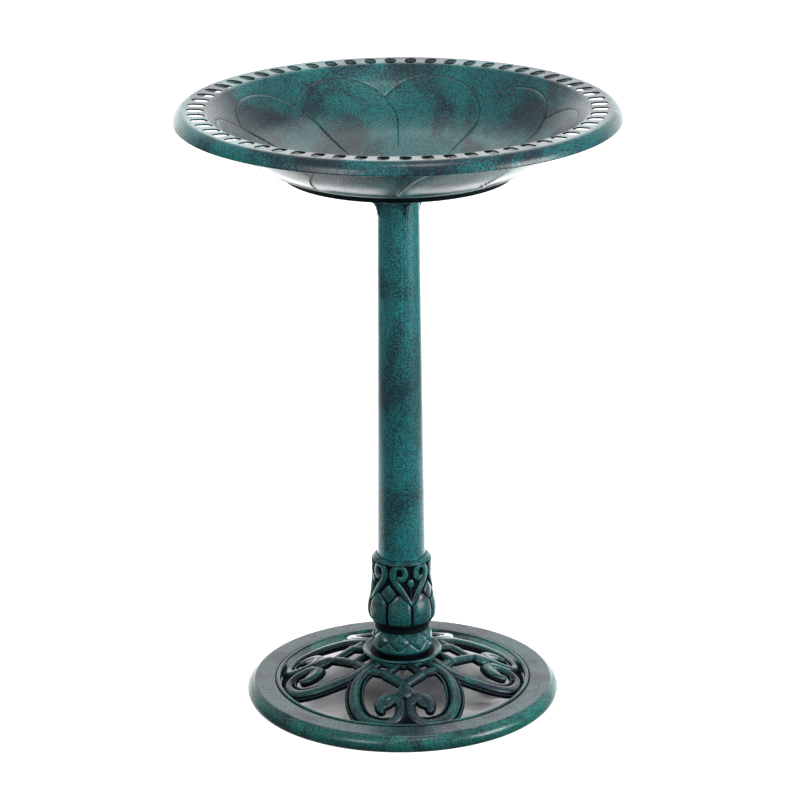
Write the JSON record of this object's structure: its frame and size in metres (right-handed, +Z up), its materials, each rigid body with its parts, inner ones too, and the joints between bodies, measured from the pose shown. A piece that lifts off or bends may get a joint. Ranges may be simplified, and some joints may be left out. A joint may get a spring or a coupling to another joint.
{
  "type": "pedestal bird bath",
  "caption": "Pedestal bird bath of green moulded plastic: openwork round base, lotus foot, tapered column and a wide slotted-rim bowl that lifts off.",
  "frame": {"origin": "centre of the base's circle, on the ground", "axes": "+Z up along the column, -Y towards the front"},
  "size_m": [0.508, 0.508, 0.715],
  "materials": {
    "green_resin": "satin verdigris green, dark brushed patches",
    "zinc_steel": "zinc plated"
  },
  "bodies": {
    "stand": {"base_band": "green_resin", "base_hub": "green_resin", "scroll_front": "green_resin", "scroll_right": "green_resin", "scroll_back": "green_resin", "scroll_left": "green_resin", "foot_dish": "green_resin", "foot_ring": "green_resin", "lotus_collar": "green_resin", "column_tube": "green_resin", "bowl_seat": "green_resin", "tie_rod": "zinc_steel", "bottom_washer": "zinc_steel", "bottom_nut": "zinc_steel", "top_washer": "zinc_steel", "top_nut": "zinc_steel"},
    "bowl": {"bowl": "green_resin"}
  },
  "joints": [
    {"name": "bowl_lift", "type": "slide", "parent": "stand", "child": "bowl", "axis": [0, 0, 1], "range_m": [0, 0.08]}
  ]
}
